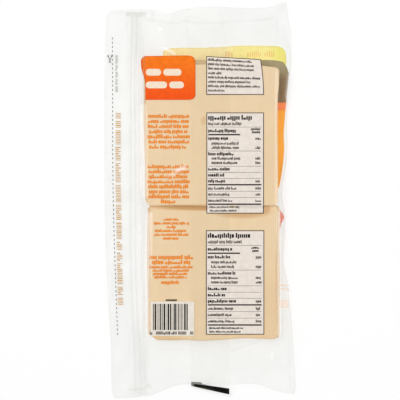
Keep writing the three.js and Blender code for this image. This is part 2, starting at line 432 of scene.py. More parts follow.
def film_shade(x, y):
    """How much painted shade darkens the back film along its creases, the strip and its rim."""
    folds = [shade * along_line(x, y, a, b, half) for a, b, half, _, shade in CREASES]
    across = x - pocket_left(y)
    up = up_share(y)
    bands = [
        mix(low_shade, high_shade, up) * hump((across - mix(low_at, high_at, up)) / half)
        for low_at, high_at, half, low_shade, high_shade in STRIP_BANDS
    ]
    inside = ramp(top_rim(x) - y, 2, 4) * ramp(y - bottom_rim(x), 2, 4)
    fade = mix(0.25, 1, ramp(from_middle(y), 60, 110))
    to_side = np.minimum(x - left_rim(y), right_rim(y) - x)
    to_end = np.minimum(top_rim(x) - y, y - bottom_rim(x))
    rim = RIM_SHADE * hump(np.minimum(to_side, to_end) / RIM_SHADE_WIDTH)
    return sum(folds) + sum(bands) * inside * fade + rim


def film_gleam(x, y):
    """How much painted highlight whitens the back film in its gleams and along the strip's ribs."""
    across = x - pocket_left(y)
    ribs = [strength * hump((across - at) / half) for at, half, strength in STRIP_GLEAMS]
    fade = mix(1, 0.2, ramp(from_middle(y), 70, 110))
    glints = [strength * along_line(x, y, a, b, half) for a, b, half, strength in GLEAMS]
    return sum(glints) + sum(ribs) * fade


def make_ripple(seed, count, shortest, longest):
    """A smooth random ripple between about -1 and 1, from a seeded sum of waves."""
    draw = random.Random(seed)
    waves = []
    for _ in range(count):
        turn = draw.uniform(0, math.tau)
        length = draw.uniform(shortest, longest)
        pace = math.tau / length
        waves.append((pace * math.cos(turn), pace * math.sin(turn), draw.uniform(0, math.tau)))

    def ripple(x, y):
        total = sum(np.sin(kx * x + ky * y + start) for kx, ky, start in waves)
        return total / math.sqrt(count)

    return ripple


slack_ripple = make_ripple(seed=7, count=9, shortest=14, longest=42)
fine_ripple = make_ripple(seed=11, count=12, shortest=4, longest=11)


def slack_wave(x, y):
    """Height of the long soft waves of the slack film."""
    return 0.22 * slack_ripple(x + 40, y)


def lower_film(x, y):
    """The front film, on the table."""
    share = outward(x, y)
    fin = np.maximum(fin_height(x, y) - fin_half(x, y), 0)
    slack = slack_wave(x, y) * ramp(share, 0, 0.5) * smooth(fin)
    return fin * share**1.6 + slack


def upper_film(x, y):
    """The back film, over the slices and down to the flat parts."""
    share = outward(x, y)
    fin = np.maximum(fin_height(x, y), FIN_THICKNESS / 2) + fin_half(x, y)
    fall = mix(share, smooth(share), 0.4)
    film = mix(roof_height(y), fin, fall) + corner_folds(x, y)
    slack = slack_wave(x, y) + 0.05 * fine_ripple(x, y)
    return film + slack * ramp(share, 0, 0.5) + creases(x, y) + rib_height(x, y)


# How far the top end of the flap leans to the left.
flap_lean = through([(40, 0), (66, 0), (111, -2.2), (121, -3.6), (130, -4.5), (138, -4.9)])


def flap_left(y):
    return FLAP["left"] + flap_lean(y)


def flap_right(y):
    return FLAP["right"] + flap_lean(y)


def flap_surface(x, y):
    """The seam's flap on the back film, pressed down along its two edges."""
    from_edge = np.minimum(x - flap_left(y), flap_right(y) - x)
    return upper_film(x, y) + mix(0.04, FLAP["rise"], ramp(from_edge, 0, 1.2))


def back_surface(x, y):
    """What the back's print lies on: the back film and its flap."""
    on_flap = (x > flap_left(y)) & (x < flap_right(y))
    return np.where(on_flap, flap_surface(x, y), upper_film(x, y))


# Meshes

def add_mesh(name, points, faces, smooth_faces=True):
    """An object from points in millimetres and faces that index them."""
    mesh = bpy.data.meshes.new(name)
    mesh.from_pydata((np.asarray(points, float) * MM).tolist(), [], faces)
    mesh.validate()
    mesh.polygons.foreach_set("use_smooth", [smooth_faces] * len(mesh.polygons))
    mesh.update()
    piece = bpy.data.objects.new(name, mesh)
    bpy.context.scene.collection.objects.link(piece)
    return piece


def grid_faces(across, along, start=0, facing_up=True):
    """Faces of a grid of points, which are stored row after row from a start."""
    faces = []
    for row in range(along - 1):
        for column in range(across - 1):
            a = start + row * across + column
            face = (a, a + 1, a + 1 + across, a + across)
            faces.append(face if facing_up else face[::-1])
    return faces


def add_sheet(name, x, y, z, facing_up=True):
    """A sheet through a grid of points."""
    along, across = x.shape
    points = np.stack([x, y, z], axis=-1).reshape(-1, 3)
    return add_mesh(name, points, grid_faces(across, along, 0, facing_up))


def set_attribute(piece, name, values):
    attribute = piece.data.attributes.new(name, "FLOAT", "POINT")
    attribute.data.foreach_set("value", np.asarray(values, np.float32).reshape(-1))


def lines(keys, last):
    """Grid lines from each key line to the next, as many as its count, and the last one."""
    found = []
    ends = [line for line, _ in keys[1:]] + [last]
    for (line, count), end in zip(keys, ends):
        for step in range(count):
            share = step / count
            found.append(lambda at, a=line, b=end, t=share: mix(a(at), b(at), t))
    return found + [last]


def crossings(columns, rows, rounds=6):
    """Where lines that give x at y cross lines that give y at x, found in a few rounds."""
    x = np.zeros((len(rows), len(columns)))
    y = np.zeros_like(x)
    for _ in range(rounds):
        for index, column in enumerate(columns):
            x[:, index] = column(y[:, index])
        for index, row in enumerate(rows):
            y[index, :] = row(x[index, :])
    return x, y


def film_grid():
    """The grid of both films, with lines along the strip, the stacks and the seals."""
    shoulder = 2.5
    columns = lines(
        [
            (left_rim, 18),
            (pocket_left, 26),
            (pocket_right, 8),
            (stack_left, 3),
            (shifted(stack_left, shoulder), 36),
            (flap_left, 28),
            (flap_right, 34),
            (shifted(stack_right, -shoulder), 3),
            (stack_right, 18),
        ],
        right_rim,
    )
    rows = lines(
        [
            (bottom_rim, 12),
            (fixed(BOTTOM_SEAL_START), 34),
            (fixed(LOWER["bottom"]), 3),
            (fixed(LOWER["bottom"] + shoulder), 74),
            (fixed(UPPER["bottom"] - STACK_LAP_RUN), 8),
            (fixed(UPPER["bottom"] + STACK_LAP_RUN), 78),
            (fixed(UPPER["top"] - shoulder), 3),
            (fixed(UPPER["top"]), 46),
            (fixed(TOP_SEAL_START), 12),
        ],
        top_rim,
    )
    return crossings(columns, rows)


def on_surface(x, y, surface, lift):
    """Points moved out from a surface along its own normal."""
    step = 0.05
    z = surface(x, y)
    slope_x = (surface(x + step, y) - surface(x - step, y)) / (2 * step)
    slope_y = (surface(x, y + step) - surface(x, y - step)) / (2 * step)
    scale = lift / np.sqrt(1 + slope_x**2 + slope_y**2)
    return x - slope_x * scale, y - slope_y * scale, z + scale


def add_field(name, left, right, bottom, top, surface, lift, pitch=1.2):
    """A printed field on a surface, between two lines that give x at y and two that give y at x."""
    middle = np.zeros(1)
    width = abs(float((right(middle) - left(middle))[0]))
    height = abs(float((top(middle) - bottom(middle))[0]))
    across = max(2, math.ceil(width / pitch))
    along = max(2, math.ceil(height / pitch))
    x, y = crossings(lines([(left, across)], right), lines([(bottom, along)], top))
    piece = add_sheet(name, *on_surface(x, y, surface, lift))
    rim = np.ones_like(x)
    rim[1:-1, 1:-1] = 0
    set_attribute(piece, "rim", rim)
    return piece


def rounded_grid(box, radius, pitch):
    """A grid over a box (left, bottom, right, top) whose outer corners are round."""
    left, bottom, right, top = box
    near_edge = [share * radius for share in (0, 0.15, 0.4, 0.7, 1)]

    def steps(length):
        inner = np.linspace(radius, length - radius, max(3, int((length - 2 * radius) / pitch)))
        outer = np.array(near_edge[:-1])
        return np.concatenate([outer, inner, length - outer[::-1]])

    x, y = np.meshgrid(steps(right - left), steps(top - bottom))
    from_left = np.minimum(x, right - left - x)
    from_bottom = np.minimum(y, top - bottom - y)
    a = np.clip(1 - from_left / radius, 0, 1)
    b = np.clip(1 - from_bottom / radius, 0, 1)
    shift_x = radius * a * (1 - np.sqrt(1 - b * b / 2))
    shift_y = radius * b * (1 - np.sqrt(1 - a * a / 2))
    x = x + np.where(x < (right - left) / 2, shift_x, -shift_x)
    y = y + np.where(y < (top - bottom) / 2, shift_y, -shift_y)
    return x + left, y + bottom


def plain_grid(box, pitch):
    """A grid over a box (left, bottom, right, top)."""
    left, bottom, right, top = box
    across = 1 + max(1, math.ceil((right - left) / pitch))
    along = 1 + max(1, math.ceil((top - bottom) / pitch))
    return np.meshgrid(np.linspace(left, right, across), np.linspace(bottom, top, along))


def add_bars(name, bars, surface, lift, warp=None, pitch=0.8, radius=0):
    """Small printed bars (left, bottom, right, top) on a surface, as one mesh."""
    points = []
    faces = []
    for bar in bars:
        x, y = rounded_grid(bar, radius, pitch) if radius else plain_grid(bar, pitch)
        along, across = x.shape
        faces += grid_faces(across, along, len(points))
        points += np.stack([x, y], axis=-1).reshape(-1, 2).tolist()
    x, y = np.array(points).T
    if warp:
        x, y = warp(x, y)
    placed = np.stack(on_surface(x, y, surface, lift), axis=-1)
    piece = add_mesh(name, placed, faces, smooth_faces=False)
    # The film's painted highlights, which the ink takes on.
    set_attribute(piece, "gleam", film_gleam(x, y))
    return piece


def type_line(draw, start, end, level, height, weight=0.4, capitals=False):
    """Small posts and dots in groups, as in a line of type, between two places."""
    bars = []
    at = start
    stroke = weight * height
    while at < end - height:
        for _ in range(draw.randint(4, 12)):
            kind = draw.choice(("post", "post", "post", "wide", "tall", "deep", "dot"))
            width = 1.6 * stroke if kind in ("wide", "dot") else stroke
            if at + width > end:
                break
            low, high = level, level + height
            if kind == "tall" and not capitals:
                high += 0.35 * height
            if kind == "deep" and not capitals:
                low -= 0.3 * height
            if kind == "dot":
                high -= 0.4 * height
            bars.append((at, low, at + width, high))
            at += width + 0.15 * height
        at += 0.35 * height
    return bars


def centred_lines(draw, centre, rows):
    """Lines of small type about a middle line, each given as (level, half width, height)."""
    bars = []
    for level, half, height in rows:
        bars += type_line(draw, centre - half, centre + half, level - height / 2, height, 0.5)
    return bars


# Finishes

class Value:
    """A socket that takes part in expressions. Each operation on numbers adds its Math node."""

    def __init__(self, finish, socket):
        self.finish = finish
        self.socket = socket

    def math(self, operation, *others):
        inputs = dict(enumerate((self, *others)))
        return self.finish.node("ShaderNodeMath", {"operation": operation}, inputs)

    def reflected(self, operation, first):
        """An operation whose first number is the other one."""
        return self.finish.node("ShaderNodeMath", {"operation": operation}, {0: first, 1: self})

    def __add__(self, other):
        return self.math("ADD", other)

    def __sub__(self, other):
        return self.math("SUBTRACT", other)

    def __rsub__(self, other):
        return self.reflected("SUBTRACT", other)

    def __mul__(self, other):
        return self.math("MULTIPLY", other)

    def __truediv__(self, other):
        return self.math("DIVIDE", other)

    def __rtruediv__(self, other):
        return self.reflected("DIVIDE", other)

    __radd__ = __add__
    __rmul__ = __mul__

    def clamped(self):
        return self.math("MAXIMUM", 0.0).math("MINIMUM", 1.0)

    def step(self, low, high):
        """0 below low, 1 above high and smooth between them."""
        settings = {"interpolation_type": "SMOOTHSTEP"}
        inputs = {"Value": self, "From Min": low, "From Max": high}
        return self.finish.node("ShaderNodeMapRange", settings, inputs, "Result")


class Finish:
    """A node material with one main shader."""

    def __init__(self, name):
        self.material = bpy.data.materials.new(name)
        self.material.use_nodes = True
        self.tree = self.material.node_tree
        self.shader = self.tree.nodes["Principled BSDF"]

    def node(self, kind, settings=None, inputs=None, output=0):
        """A node of a kind, with its settings, then its sockets' values or links."""
        made = self.tree.nodes.new(kind)
        for name, value in (settings or {}).items():
            setattr(made, name, value)
        for name, value in (inputs or {}).items():
            self.connect(made.inputs[name], value)
        return Value(self, made.outputs[output])

    def connect(self, socket, value):
        if isinstance(value, Value):
            self.tree.links.new(value.socket, socket)
        elif socket.type == "RGBA":
            socket.default_value = (*value, 1)
        else:
            socket.default_value = value

    def set(self, **inputs):
        """Sets or links the main shader's sockets. A name's underscores stand for spaces."""
        for name, value in inputs.items():
            self.connect(self.shader.inputs[name.replace("_", " ")], value)
        return self

    def place(self):
        """The point in the pack's own axes, in metres."""
        return self.node("ShaderNodeTexCoord", output="Object")

    def axes(self, vector):
        """A vector's three parts."""
        return [self.node("ShaderNodeSeparateXYZ", {}, {"Vector": vector}, axis) for axis in "XYZ"]

    def stretched(self, x, y, z):
        """The pack's point, scaled by an amount along each axis."""
        settings = {"operation": "MULTIPLY"}
        return self.node("ShaderNodeVectorMath", settings, {0: self.place(), 1: (x, y, z)})

    def noise(self, scale, detail=2.0, roughness=0.5, stretch=(1, 1, 1)):
        inputs = {
            "Vector": self.stretched(*stretch),
            "Scale": scale,
            "Detail": detail,
            "Roughness": roughness,
        }
        return self.node("ShaderNodeTexNoise", {}, inputs, "Fac")

    def blend(self, share, first, second):
        """A colour between two, by a share from 0 to 1."""
        inputs = {"Factor": share, 6: first, 7: second}
        return self.node("ShaderNodeMix", {"data_type": "RGBA"}, inputs, 2)

    def bump(self, height, strength, distance):
        inputs = {"Height": height, "Strength": strength, "Distance": distance}
        return self.node("ShaderNodeBump", {}, inputs, "Normal")

    def attribute(self, name):
        """A number that the mesh holds at each point, or 0 where it holds none."""
        settings = {"attribute_name": name}
        return self.node("ShaderNodeAttribute", settings, output="Fac")

    def facing(self):
        """0 where the surface faces the eye and 1 where it is seen edge on."""
        return self.node("ShaderNodeLayerWeight", {}, {"Blend": 0.5}, "Facing")

    def normal(self):
        """Which way the surface faces, before its bump."""
        return self.node("ShaderNodeNewGeometry", output="Normal")

    def steep(self):
        """0 where the surface lies level and 1 where it stands upright."""
        return 1 - self.axes(self.normal())[2].math("ABSOLUTE")

    def leaning(self, way):
        """How far the surface leans one way: 0 where it is level and 1 where it faces that way."""
        inputs = {0: self.normal(), 1: way}
        return self.node("ShaderNodeVectorMath", {"operation": "DOT_PRODUCT"}, inputs, "Value")


def toned(colour, factor):
    return tuple(min(1.0, part * factor) for part in colour)


def spot(finish, x, y, radius_x, radius_y):
    """1 in the middle of an oval spot (in millimetres) and 0 outside it."""
    place_x, place_y, _ = finish.axes(finish.place())
    aside = (place_x - x * MM) / (radius_x * MM)
    along = (place_y - y * MM) / (radius_y * MM)
    return 1 - (aside * aside + along * along).step(0.15, 1.0)


def film_finish(name, opacity, colour):
    """Clear film: greyer with painted shade along its creases, denser and white with a
    painted sheen seen edge on, and white with painted highlights where it gleams.

    The gleams also glow a little with warm light.
    """
    finish = Finish(name)
    cloud = finish.noise(45, detail=3).step(0.35, 0.7)
    shade = finish.attribute("shade")
    gleam = finish.attribute("gleam")
    # Painted shade on slopes that lean to the lower left.
    lean = finish.leaning((-0.7, -0.7, 0)).step(0.15, 0.7)
    # Painted sheen: seen edge on, the film grows denser and white.
    edge_on_sheen = finish.facing().step(0.7, 1.0)
    alpha = cloud * CLOUD_DENSITY + opacity + shade + gleam
    alpha = alpha + lean * LEAN_SHADE_DENSITY + edge_on_sheen * EDGE_SHEEN_DENSITY
    stretch_lines = finish.noise(260, detail=2, stretch=(1, 0.25, 1))
    haze = finish.blend(shade.step(0.01, 0.08), colour, toned(colour, 0.9))
    # Painted highlights where the film gleams, which also glow a little.
    gleaming = gleam.step(0.01, 0.06)
    highlight_and_sheen_share = gleaming.math("MAXIMUM", edge_on_sheen)
    return finish.set(
        Base_Color=finish.blend(highlight_and_sheen_share, haze, (1, 1, 1)),
        Roughness=finish.noise(80).step(0.2, 0.8) * 0.08 + 0.14,
        IOR=FILM_IOR,
        Emission_Color=finish.blend(gleaming, (0, 0, 0), GLEAM_COLOUR),
        Emission_Strength=GLEAM_GLOW,
        Alpha=alpha.clamped(),
        Normal=finish.bump(stretch_lines, 0.25, 0.0002),
    ).material


def cheese_finish(name, stains_and_shade=()):
    """Firm pale cheese: faint streaks and mottling, painted amber shade on its steep sides, and
    darker places of stain and painted shade.
    """
    finish = Finish(name)
    pack = pack_settings()
    colour = pack.cheese_colour
    mottle = finish.noise(60, detail=5, roughness=0.6).step(0.3, 0.75)
    streak = finish.noise(90, detail=3, stretch=(1, 0.12, 1)).step(0.35, 0.7)
    grain = finish.noise(1400, detail=2)
    body = finish.blend(mottle * 0.6 + streak * 0.4, toned(colour, 0.955), toned(colour, 1.03))
    # Darker places, partly stain and partly painted shade.
    stain_and_shade_share = 0.0
    for x, y, radius_x, radius_y, share in stains_and_shade:
        stain_and_shade_share = (spot(finish, x, y, radius_x, radius_y) * share).math("MAXIMUM", stain_and_shade_share)
    # Painted shade: the steep sides of the slices turn amber.
    amber = finish.blend(finish.steep().step(0.25, 0.9), body, pack.shaded_side_colour)
    relief = mottle * 0.6 + grain * 0.4
    return finish.set(
        Base_Color=finish.blend(stain_and_shade_share, amber, pack.stain_and_shade_colour),
        Roughness=mottle * 0.12 + 0.4,
        Subsurface_Weight=0.15,
        Subsurface_Radius=(0.006, 0.003, 0.0015),
        Subsurface_Scale=0.3,
        Normal=finish.bump(relief, 0.25, 0.0002),
    ).material


def ink_finish(name, colour, shade=0.93, alpha=1.0, glow=0.0, turns=()):
    """Gloss ink on film, a little uneven as laid down, with painted highlights where the film gleams.

    Its glow is painted light. Each of its turns, (axis, from, to, colour), is where along x (0)
    or y (1) in millimetres it changes to another colour.
    """
    finish = Finish(name)
    uneven = finish.noise(320, detail=3).step(0.3, 0.7)
    tone = colour
    for axis, low, high, other in turns:
        share = finish.axes(finish.place())[axis].step(low * MM, high * MM)
        tone = finish.blend(share, tone, other)
    rim = finish.attribute("rim") * RIM_DARKENING
    worn = finish.blend((1 - uneven) * (1 - shade) + rim, tone, (0, 0, 0))
    finish.set(
        # Painted highlight where the film over the ink gleams.
        Base_Color=finish.blend(finish.attribute("gleam").clamped(), worn, (1, 1, 1)),
        Roughness=finish.noise(140).step(0.2, 0.8) * 0.12 + 0.35,
        IOR=INK_IOR,
        Emission_Color=tone,
        Emission_Strength=glow,
        Normal=finish.bump(uneven, 0.1, 0.0001),
    )
    if alpha < 1:
        finish.set(Alpha=(uneven * 0.06 + alpha).clamped())
    return finish.material


# Pieces

def dress(piece, material):
    """Gives a piece its finish and its place in the part."""
    piece.data.materials.append(material)
    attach(piece, BODY)
    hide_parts(BAG)


# How far the upper slices' left edge stands in, and the lower ones' foot up.
upper_left_shift = through([
    (-4, 1.0), (4, 0.8), (21, 0.6), (36, 0.5), (50, 0.1), (62, -0.25), (76, 0),
])
foot_lift = through([
    (-35, 0), (-31, 0), (-25, 0.2), (-18, 0.25), (-10.7, 0.6), (-3.6, 0.2), (3.6, 0), (10.7, 0),
    (18, 0.4), (32, 1.3), (46, 1.0), (57, 1.2),
])


def upper_form(x, y):
    """How the upper slices have gone out of square: in at the sides, down at the top right."""
    across = (x - UPPER["left"]) / (UPPER["right"] - UPPER["left"])
    up = np.clip((y - UPPER["bottom"]) / (UPPER["top"] - UPPER["bottom"]), 0, 1)
    right_shift = -0.9 * ramp(y, 84, 72)
    side = upper_left_shift(y) * (1 - across) ** 6 + right_shift * np.clip(across, 0, 1) ** 6
    return x + side, y - 2.0 * ramp(x, 36, 58) * up**8


def lower_form(x, y):
    """How the lower slices have gone out of square: a wavy foot with a blunt left corner."""
    up = np.clip((y - LOWER["bottom"]) / (UPPER["bottom"] - LOWER["bottom"]), 0, 1)
    across = np.clip((x - LOWER["left"]) / (LOWER["right"] - LOWER["left"]), 0, 1)
    from_corner = np.hypot(x - LOWER["left"], y - LOWER["bottom"])
    blunt = 1.5 * (1 - ramp(from_corner, 0, 7))
    left_shift = -0.5 * (1 - across) ** 6
    return x + blunt + left_shift, y + blunt + foot_lift(x) * (1 - up) ** 8


def add_slice(name, box, level, draw, pitch, form, eyes=()):
    """A cheese slice over a box, its lower face at a level, with soft edges and a slight wave."""
    thickness = slice_thickness() - SLICE_GAP
    x, y = rounded_grid(box, SLICE_CORNER_RADIUS, pitch)
    left, bottom, right, top = box
    from_edge = np.minimum(np.minimum(x - left, right - x), np.minimum(y - bottom, top - y))
    inset = np.clip(1 - from_edge / SLICE_EDGE_RADIUS, 0, 1)
    rounding = SLICE_EDGE_RADIUS * (1 - np.sqrt(1 - inset * inset))
    turn = draw.uniform(0, math.tau)
    wave = 0.3 * np.sin(y / 13 + turn) * (2 * (x - left) / (right - left) - 1) ** 3
    wave_along = 0.3 * np.sin(x / 11 + turn) * (2 * (y - bottom) / (top - bottom) - 1) ** 3
    dent = np.zeros_like(x)
    for eye_x, eye_y, radius_x, radius_y, depth in eyes:
        reach = np.hypot((x - eye_x) / radius_x, (y - eye_y) / radius_y)
        dent = dent + depth * (1 - ramp(reach, 0.11, 1.21))
    along, across = x.shape
    x, y = form(x + wave, y + wave_along)
    low = np.stack([x, y, level + rounding], axis=-1)
    high = np.stack([x, y, level + thickness - rounding - dent], axis=-1)
    points = np.concatenate([low.reshape(-1, 3), high.reshape(-1, 3)])
    count = across * along
    faces = grid_faces(across, along, 0, facing_up=False) + grid_faces(across, along, count)
    bottom_row = list(range(across))
    right_column = [row * across + across - 1 for row in range(1, along)]
    top_row = [(along - 1) * across + column for column in range(across - 2, -1, -1)]
    left_column = [row * across for row in range(along - 2, 0, -1)]
    rim = bottom_row + right_column + top_row + left_column
    for a, b in zip(rim, rim[1:] + rim[:1]):
        faces.append((a, b, b + count, a + count))
    return add_mesh(name, points, faces)


def hidden_upper_box(draw, covers):
    """The box of an upper slice that so many slices cover, a little out of line with them."""
    left = UPPER["left"] + 0.3 - 0.3 * covers + draw.uniform(0, 0.3)
    right = UPPER["right"] - draw.uniform(0.2, 1.6)
    bottom = SLICE_SEAM + draw.uniform(0.2, 1.2)
    return left, bottom, right, UPPER["top"] - draw.uniform(0.8, 2.2)


def hidden_lower_box(draw, covers):
    """The box of a lower slice that so many slices cover, a little out of line with them."""
    left = LOWER["left"] - 0.3 * covers - 0.05 * covers**2 + draw.uniform(-0.2, 0.2)
    right = LOWER["right"] - draw.uniform(0.2, 0.7)
    bottom = LOWER["bottom"] + draw.uniform(0.5, 1.6)
    return left, bottom, right, SLICE_SEAM - draw.uniform(0.2, 1.2)


class CHEESE_PACK_OT_slices(bpy.types.Operator):
    """Makes the cheese slices of both stacks"""

    bl_idname = "cheese_pack.slices"
    bl_label = "Cheese Slices"

    def execute(self, context):
        draw = random.Random(3)
        hidden_finish = cheese_finish("cheese")
        shown_box = (
            UPPER["left"] + 0.3, UPPER["bottom"] + 0.3, UPPER["shown_right"], UPPER["top"] - 0.4,
        )
        finishes = (cheese_finish("upper_top_cheese", UPPER_STAINS_AND_SHADE), hidden_finish)
        boxes = (shown_box, hidden_upper_box)
        self.add_stack("upper", UPPER_SLICES, boxes, upper_form, UPPER_EYES, finishes, draw)
        shown_box = (
            LOWER["left"] + 0.4, LOWER["bottom"] + 0.4, LOWER["shown_right"], SLICE_SEAM - 0.2,
        )
        finishes = (cheese_finish("lower_top_cheese", LOWER_STAINS_AND_SHADE), hidden_finish)
        boxes = (shown_box, hidden_lower_box)
        self.add_stack("lower", LOWER_SLICES, boxes, lower_form, LOWER_EYES, finishes, draw)
        return {"FINISHED"}

    def add_stack(self, name, count, boxes, form, eyes, finishes, draw):
        """Lays slices on each other. The last one shows, and has the first box and finish."""
        shown_box, hidden_box = boxes
        shown_finish, hidden_finish = finishes
        for index in range(count):
            covers = count - 1 - index
            level = FILM_SLACK / 2 + index * slice_thickness()
            if covers:
                shape = (hidden_box(draw, covers), level, draw, HIDDEN_PITCH, form)
            else:
                shape = (shown_box, level, draw, SHOWN_PITCH, form, eyes)
            piece = add_slice(f"slice_{name}_{index + 1}", *shape)
            dress(piece, hidden_finish if covers else shown_finish)


class CHEESE_PACK_OT_films(bpy.types.Operator):
    """Makes the clear back film and front film, sealed to each other all round"""

    bl_idname = "cheese_pack.films"
    bl_label = "Films"

    def execute(self, context):
        pack = context.scene.cheese_pack
        film = film_finish("clear_film", pack.film_opacity, pack.film_colour)
        x, y = film_grid()
        back = add_sheet("back_film", x, y, upper_film(x, y))
        set_attribute(back, "shade", film_shade(x, y))
        set_attribute(back, "gleam", film_gleam(x, y))
        dress(back, film)
        front = add_sheet("front_film", x, y, lower_film(x, y), facing_up=False)
        dress(front, film)
        return {"FINISHED"}


class CHEESE_PACK_OT_strip(bpy.types.Operator):
    """Gives the reseal strip its finish"""

    bl_idname = "cheese_pack.strip"
    bl_label = "Reseal Strip"

    def execute(self, context):
        pack = context.scene.cheese_pack
        finish = Finish("strip_plastic")
        colour = pack.strip_colour
        cloud = finish.noise(200, detail=3, stretch=(1, 0.2, 1)).step(0.3, 0.7)
        finish.set(
            Base_Color=finish.blend(cloud, toned(colour, 0.93), colour),
            Roughness=cloud * 0.1 + 0.25,
            Alpha=cloud * 0.01 + pack.strip_opacity,
            Normal=finish.bump(cloud, 0.2, 0.0002),
        )
        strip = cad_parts[STRIP]
        strip.data.materials.clear()
        strip.data.materials.append(finish.material)
        return {"FINISHED"}


# The mark's upper edge: how fast it falls to the right, and how far down it is, in metres.
MARK_EDGE_SLOPE = 0.129
MARK_EDGE_LEVEL = 0.1316


class CHEESE_PACK_OT_flap(bpy.types.Operator):
    """Makes the back seam's flap and the black mark on its end"""

    bl_idname = "cheese_pack.flap"
    bl_label = "Seam Flap"

    def execute(self, context):
        pack = context.scene.cheese_pack
        film = film_finish("seam_film", pack.film_opacity * 0.6, pack.seam_colour)
        end = (FLAP_END["right"] - FLAP_END["left"]) / (FLAP["right"] - FLAP["left"])

        def foot(x):
            return FLAP_END["left"] + end * (x - FLAP["left"])

        edges = [(flap_left, 4), (shifted(flap_left, 1.2), 26), (shifted(flap_right, -1.2), 4)]
        columns = lines(edges, flap_right)
        rows = lines([(foot, 230)], shifted(top_rim, -0.2))
        x, y = crossings(columns, rows)
        flap = add_sheet("seam_flap", x, y, flap_surface(x, y))
        # Painted shade: the flap is darker towards the foot of the pack and lighter towards its top.
        set_attribute(flap, "shade", 0.02 * ramp(y, -60, -110) - 0.014 * ramp(y, 96, 110))
        dress(flap, film)
        mark_top = through([(FLAP["left"], -129.6), (0.9, -129.9), (1.6, -131), (20.9, -134.3)])
        edges = (fixed(FLAP["left"] + 0.1), fixed(FLAP["right"] - 0.3), shifted(foot, 0.1), mark_top)
        mark = add_field("black_mark", *edges, raised(flap_surface, MARK_LIFT), 0.02, pitch=0.8)
        dress(mark, self.mark_finish())
        return {"FINISHED"}

    def mark_finish(self):
        """Black ink, greyer at its upper edge, with a painted sheen along its left edge, and thinner
        towards its lower left.
        """
        finish = Finish("black_mark")
        place_x, place_y, _ = finish.axes(finish.place())
        above = place_y + place_x * MARK_EDGE_SLOPE + MARK_EDGE_LEVEL
        uneven = finish.noise(240, detail=3).step(0.3, 0.7)
        black = finish.blend(uneven, srgb(4, 4, 3), srgb(16, 15, 14))
        thin = (1 - place_x.step(-0.002, 0.013)) * (1 - above.step(-0.0022, -0.0012))
        faded = finish.blend(thin, black, srgb(84, 84, 66))
        # Grey along the upper edge, and a painted sheen along the left edge.
        grey = above.step(-0.0002, 0.0004).math("MAXIMUM", 1 - place_x.step(-0.0058, -0.0034))
        finish.set(
            Base_Color=finish.blend(grey, faded, srgb(138, 138, 134)),
            Roughness=uneven * 0.1 + 0.3,
            IOR=INK_IOR,
        )
        return finish.material


# Edges of the front's fields, where they reach past the slices.
SALMON_TOP = 69.9
ORANGE_TOP = 64.5
fields_left = fixed(-26.4)
fields_right = through([
    (9, 56.6), (16, 58.0), (25, 59.3), (36, 60.2), (47, 59.9), (57, 60.5), (66, 61.2),
    (71.1, 61.7), (78.2, 62.4), (85.3, 63.1), (88.9, 63.4), (92.5, 63.5), (95.3, 62.2),
    (98, 61.4), (100.6, 61.0),
])
banner_left = through([(96, -26.7), (103, -26.7), (106.4, -26.3), (109, -24.2)])
banner_right = through([
    (96, 61.6), (101, 61.6), (105.3, 61.2), (107.4, 60.4), (109.4, 58.4), (110.6, 55.0),
])
banner_top = through([
    (-26, 107.6), (-20, 108.9), (10, 109.4), (28, 110.6), (52, 110.4), (62, 109.8),
])
brown_top = through([
    (-26, 100.4), (40, 100.4), (53, 100.2), (58, 99.4), (60, 98.6), (61.5, 96.6), (62.6, 93.6),
    (64, 90),
])
leaf_right = through([
    (-23.7, 56.6), (-20, 57.4), (-16, 58.6), (-12.2, 60.2), (-9, 58.8), (-6.0, 56.4),
])
PALE_STRIPES = ((-61.4, -60.0), (-64.2, -62.6), (-76.8, -71.2))
BANNER_STROKES = ((18.0, 24.0), (33.6, 42.8), (46.2, 53.2))
# Painted light: how much the front's fields glow, to lift the shade round the stacks.
FRONT_PAINTED_GLOW = 0.24


